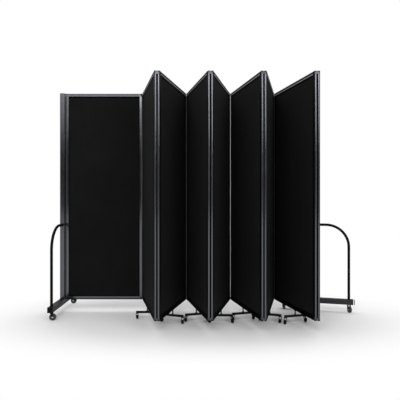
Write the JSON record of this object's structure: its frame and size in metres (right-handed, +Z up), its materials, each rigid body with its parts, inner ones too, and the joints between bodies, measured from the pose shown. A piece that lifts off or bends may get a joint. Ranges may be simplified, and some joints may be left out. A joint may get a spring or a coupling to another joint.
{
  "type": "accordion folding partition",
  "caption": "Free-standing accordion room divider: fabric boards in slim frames on hinge links, with arched end frames and feet on casters.",
  "frame": {"origin": "on the floor, at the middle of the overall box in the stored, zigzag pose", "axes": "+X along the row of folds, from the face-on panel to the far end; +Y away from the side that faces the viewer; +Z up"},
  "size_m": [2.0462, 0.7756, 1.524],
  "materials": {
    "frame_metal": "gloss",
    "board_fabric": "woven",
    "hinge_black": "satin",
    "caster_black": "satin",
    "hub_steel": "zinc plated",
    "wheel_rubber": "matte"
  },
  "bodies": {
    "panel_1": {"panel_1_frame": "frame_metal", "panel_1_board": "board_fabric", "left_end_post": "frame_metal", "left_end_frame": "frame_metal"},
    "panel_2": {"panel_2_frame": "frame_metal", "panel_2_board": "board_fabric"},
    "panel_3": {"panel_3_frame": "frame_metal", "panel_3_board": "board_fabric"},
    "panel_4": {"panel_4_frame": "frame_metal", "panel_4_board": "board_fabric"},
    "panel_5": {"panel_5_frame": "frame_metal", "panel_5_board": "board_fabric"},
    "panel_6": {"panel_6_frame": "frame_metal", "panel_6_board": "board_fabric"},
    "panel_7": {"panel_7_frame": "frame_metal", "panel_7_board": "board_fabric"},
    "panel_8": {"panel_8_frame": "frame_metal", "panel_8_board": "board_fabric"},
    "panel_9": {"panel_9_frame": "frame_metal", "panel_9_board": "board_fabric", "right_end_post": "frame_metal", "right_end_frame": "frame_metal"},
    "link_1": {"hinge_link_1": "hinge_black"},
    "link_2": {"hinge_link_2": "hinge_black"},
    "link_3": {"hinge_link_3": "hinge_black"},
    "link_4": {"hinge_link_4": "hinge_black"},
    "link_5": {"hinge_link_5": "hinge_black"},
    "link_6": {"hinge_link_6": "hinge_black"},
    "link_7": {"hinge_link_7": "hinge_black"},
    "link_8": {"hinge_link_8": "hinge_black"},
    "left_front_caster_fork": {"left_front_caster_fork": "caster_black"},
    "left_front_caster_wheel": {"left_front_caster_wheel": "wheel_rubber"},
    "left_rear_caster_fork": {"left_rear_caster_fork": "caster_black"},
    "left_rear_caster_wheel": {"left_rear_caster_wheel": "wheel_rubber"},
    "right_front_caster_fork": {"right_front_caster_fork": "caster_black"},
    "right_front_caster_wheel": {"right_front_caster_wheel": "wheel_rubber"},
    "right_rear_caster_fork": {"right_rear_caster_fork": "caster_black"},
    "right_rear_caster_wheel": {"right_rear_caster_wheel": "wheel_rubber"},
    "foot_2": {"foot_2_bar": "caster_black"},
    "foot_2_front_caster": {"foot_2_front_caster": "caster_black"},
    "foot_2_rear_caster": {"foot_2_rear_caster": "caster_black"},
    "foot_3": {"foot_3_bar": "caster_black"},
    "foot_3_front_caster": {"foot_3_front_caster": "caster_black"},
    "foot_3_rear_caster": {"foot_3_rear_caster": "caster_black"},
    "foot_4": {"foot_4_bar": "caster_black"},
    "foot_4_front_caster": {"foot_4_front_caster": "caster_black"},
    "foot_4_rear_caster": {"foot_4_rear_caster": "caster_black"},
    "foot_5": {"foot_5_bar": "caster_black"},
    "foot_5_front_caster": {"foot_5_front_caster": "caster_black"},
    "foot_5_rear_caster": {"foot_5_rear_caster": "caster_black"},
    "foot_6": {"foot_6_bar": "caster_black"},
    "foot_6_front_caster": {"foot_6_front_caster": "caster_black"},
    "foot_6_rear_caster": {"foot_6_rear_caster": "caster_black"},
    "foot_7": {"foot_7_bar": "caster_black"},
    "foot_7_front_caster": {"foot_7_front_caster": "caster_black"},
    "foot_7_rear_caster": {"foot_7_rear_caster": "caster_black"},
    "foot_8": {"foot_8_bar": "caster_black"},
    "foot_8_front_caster": {"foot_8_front_caster": "caster_black"},
    "foot_8_rear_caster": {"foot_8_rear_caster": "caster_black"}
  },
  "joints": [
    {"name": "fold_1", "type": "hinge", "parent": "link_1", "child": "panel_1", "pos_m": [-0.45159, 0.13775, 0.084], "axis": [0, 0, -1], "range_deg": [-30, 37.4]},
    {"name": "link_1_turn", "type": "hinge", "parent": "panel_2", "child": "link_1", "pos_m": [-0.43729, 0.12682, 0.084], "axis": [0, 0, -1], "range_deg": [-30, 37.4]},
    {"name": "fold_2", "type": "hinge", "parent": "link_2", "child": "panel_2", "pos_m": [-0.29964, -0.37982, 0.084], "axis": [0, 0, 1], "range_deg": [0, 75]},
    {"name": "link_2_turn", "type": "hinge", "parent": "panel_3", "child": "link_2", "pos_m": [-0.28164, -0.37975, 0.084], "axis": [0, 0, 1], "range_deg": [0, 75]},
    {"name": "fold_3", "type": "hinge", "parent": "link_3", "child": "panel_3", "pos_m": [-0.14753, 0.12783, 0.084], "axis": [0, 0, -1], "range_deg": [0, 75]},
    {"name": "link_3_turn", "type": "hinge", "parent": "panel_4", "child": "link_3", "pos_m": [-0.12953, 0.12789, 0.084], "axis": [0, 0, -1], "range_deg": [0, 75]},
    {"name": "fold_4", "type": "hinge", "parent": "link_4", "child": "panel_4", "pos_m": [0.00812, -0.37874, 0.084], "axis": [0, 0, 1], "range_deg": [0, 75]},
    {"name": "link_4_turn", "type": "hinge", "parent": "panel_5", "child": "link_4", "pos_m": [0.02612, -0.37868, 0.084], "axis": [0, 0, 1], "range_deg": [0, 75]},
    {"name": "fold_5", "type": "hinge", "parent": "link_5", "child": "panel_6", "pos_m": [0.17823, 0.12897, 0.084], "axis": [0, 0, 1], "range_deg": [0, 75]},
    {"name": "link_5_turn", "type": "hinge", "parent": "panel_5", "child": "link_5", "pos_m": [0.16023, 0.1289, 0.084], "axis": [0, 0, 1], "range_deg": [0, 75]},
    {"name": "fold_6", "type": "hinge", "parent": "link_6", "child": "panel_7", "pos_m": [0.33388, -0.3776, 0.084], "axis": [0, 0, -1], "range_deg": [0, 75]},
    {"name": "link_6_turn", "type": "hinge", "parent": "panel_6", "child": "link_6", "pos_m": [0.31588, -0.37767, 0.084], "axis": [0, 0, -1], "range_deg": [0, 75]},
    {"name": "fold_7", "type": "hinge", "parent": "link_7", "child": "panel_8", "pos_m": [0.48599, 0.13004, 0.084], "axis": [0, 0, 1], "range_deg": [0, 75]},
    {"name": "link_7_turn", "type": "hinge", "parent": "panel_7", "child": "link_7", "pos_m": [0.46799, 0.12998, 0.084], "axis": [0, 0, 1], "range_deg": [0, 75]},
    {"name": "fold_8", "type": "hinge", "parent": "link_8", "child": "panel_9", "pos_m": [0.64163, -0.3764, 0.084], "axis": [0, 0, -1], "range_deg": [0, 75.4]},
    {"name": "link_8_turn", "type": "hinge", "parent": "panel_8", "child": "link_8", "pos_m": [0.62364, -0.37659, 0.084], "axis": [0, 0, -1], "range_deg": [0, 75.4]},
    {"name": "left_front_swivel", "type": "hinge", "parent": "panel_1", "child": "left_front_caster_fork", "pos_m": [-1.00559, -0.08425, 0.055], "axis": [0, 0, 1], "continuous": true},
    {"name": "left_front_spin", "type": "hinge", "parent": "left_front_caster_fork", "child": "left_front_caster_wheel", "pos_m": [-0.99763, -0.08341, 0.0215], "axis": [-0.1045, 0.9945, 0], "continuous": true},
    {"name": "left_rear_swivel", "type": "hinge", "parent": "panel_1", "child": "left_rear_caster_fork", "pos_m": [-1.00559, 0.35975, 0.055], "axis": [0, 0, 1], "continuous": true},
    {"name": "left_rear_spin", "type": "hinge", "parent": "left_rear_caster_fork", "child": "left_rear_caster_wheel", "pos_m": [-0.99767, 0.35864, 0.0215], "axis": [0.1392, 0.9903, 0], "continuous": true},
    {"name": "right_front_swivel", "type": "hinge", "parent": "panel_9", "child": "right_front_caster_fork", "pos_m": [0.99106, 0.10743, 0.055], "axis": [0, 0, 1], "continuous": true},
    {"name": "right_front_spin", "type": "hinge", "parent": "right_front_caster_fork", "child": "right_front_caster_wheel", "pos_m": [0.99245, 0.09956, 0.0215], "axis": [0.9848, 0.1736, 0], "continuous": true},
    {"name": "right_rear_swivel", "type": "hinge", "parent": "panel_9", "child": "right_rear_caster_fork", "pos_m": [0.56025, 0.21485, 0.055], "axis": [0, 0, 1], "continuous": true},
    {"name": "right_rear_spin", "type": "hinge", "parent": "right_rear_caster_fork", "child": "right_rear_caster_wheel", "pos_m": [0.55997, 0.20685, 0.0215], "axis": [0.9994, -0.0349, 0], "continuous": true},
    {"name": "foot_2_turn", "type": "hinge", "parent": "panel_2", "child": "foot_2", "pos_m": [-0.38734, -0.05702, 0.084], "axis": [0, 0, 1], "range_deg": [-75, 75]},
    {"name": "foot_2_front_swivel", "type": "hinge", "parent": "foot_2", "child": "foot_2_front_caster", "pos_m": [-0.45484, -0.05725, 0.041], "axis": [0, 0, 1], "continuous": true},
    {"name": "foot_2_rear_swivel", "type": "hinge", "parent": "foot_2", "child": "foot_2_rear_caster", "pos_m": [-0.31984, -0.05678, 0.041], "axis": [0, 0, 1], "continuous": true},
    {"name": "foot_3_turn", "type": "hinge", "parent": "panel_3", "child": "foot_3", "pos_m": [-0.21612, -0.13176, 0.084], "axis": [0, 0, 1], "range_deg": [-75, 15]},
    {"name": "foot_3_front_swivel", "type": "hinge", "parent": "foot_3", "child": "foot_3_front_caster", "pos_m": [-0.15261, -0.15463, 0.041], "axis": [0, 0, 1], "continuous": true},
    {"name": "foot_3_rear_swivel", "type": "hinge", "parent": "foot_3", "child": "foot_3_rear_caster", "pos_m": [-0.27963, -0.1089, 0.041], "axis": [0, 0, 1], "continuous": true},
    {"name": "foot_4_turn", "type": "hinge", "parent": "panel_4", "child": "foot_4", "pos_m": [-0.06647, -0.10419, 0.084], "axis": [0, 0, 1], "range_deg": [-20, 75]},
    {"name": "foot_4_front_swivel", "type": "hinge", "parent": "foot_4", "child": "foot_4_front_caster", "pos_m": [-0.13161, -0.12189, 0.041], "axis": [0, 0, 1], "continuous": true},
    {"name": "foot_4_rear_swivel", "type": "hinge", "parent": "foot_4", "child": "foot_4_rear_caster", "pos_m": [-0.00134, -0.0865, 0.041], "axis": [0, 0, 1], "continuous": true},
    {"name": "foot_5_turn", "type": "hinge", "parent": "panel_5", "child": "foot_5", "pos_m": [0.09164, -0.13069, 0.084], "axis": [0, 0, 1], "range_deg": [-20, 10]},
    {"name": "foot_5_front_swivel", "type": "hinge", "parent": "foot_5", "child": "foot_5_front_caster", "pos_m": [0.15906, -0.13398, 0.041], "axis": [0, 0, 1], "continuous": true},
    {"name": "foot_5_rear_swivel", "type": "hinge", "parent": "foot_5", "child": "foot_5_rear_caster", "pos_m": [0.02422, -0.12739, 0.041], "axis": [0, 0, 1], "continuous": true},
    {"name": "foot_6_turn", "type": "hinge", "parent": "panel_6", "child": "foot_6", "pos_m": [0.23604, -0.08382, 0.084], "axis": [0, 0, 1], "range_deg": [-75, 75]},
    {"name": "foot_6_front_swivel", "type": "hinge", "parent": "foot_6", "child": "foot_6_front_caster", "pos_m": [0.1709, -0.10152, 0.041], "axis": [0, 0, 1], "continuous": true},
    {"name": "foot_6_rear_swivel", "type": "hinge", "parent": "foot_6", "child": "foot_6_rear_caster", "pos_m": [0.30118, -0.06612, 0.041], "axis": [0, 0, 1], "continuous": true},
    {"name": "foot_7_turn", "type": "hinge", "parent": "panel_7", "child": "foot_7", "pos_m": [0.40349, -0.11414, 0.084], "axis": [0, 0, 1], "range_deg": [-75, 75]},
    {"name": "foot_7_front_swivel", "type": "hinge", "parent": "foot_7", "child": "foot_7_front_caster", "pos_m": [0.467, -0.13701, 0.041], "axis": [0, 0, 1], "continuous": true},
    {"name": "foot_7_rear_swivel", "type": "hinge", "parent": "foot_7", "child": "foot_7_rear_caster", "pos_m": [0.33998, -0.09128, 0.041], "axis": [0, 0, 1], "continuous": true},
    {"name": "foot_8_turn", "type": "hinge", "parent": "panel_8", "child": "foot_8", "pos_m": [0.56005, -0.14258, 0.084], "axis": [0, 0, 1], "range_deg": [-15, 75]},
    {"name": "foot_8_front_swivel", "type": "hinge", "parent": "foot_8", "child": "foot_8_front_caster", "pos_m": [0.49492, -0.16027, 0.041], "axis": [0, 0, 1], "continuous": true},
    {"name": "foot_8_rear_swivel", "type": "hinge", "parent": "foot_8", "child": "foot_8_rear_caster", "pos_m": [0.62519, -0.12488, 0.041], "axis": [0, 0, 1], "continuous": true}
  ]
}
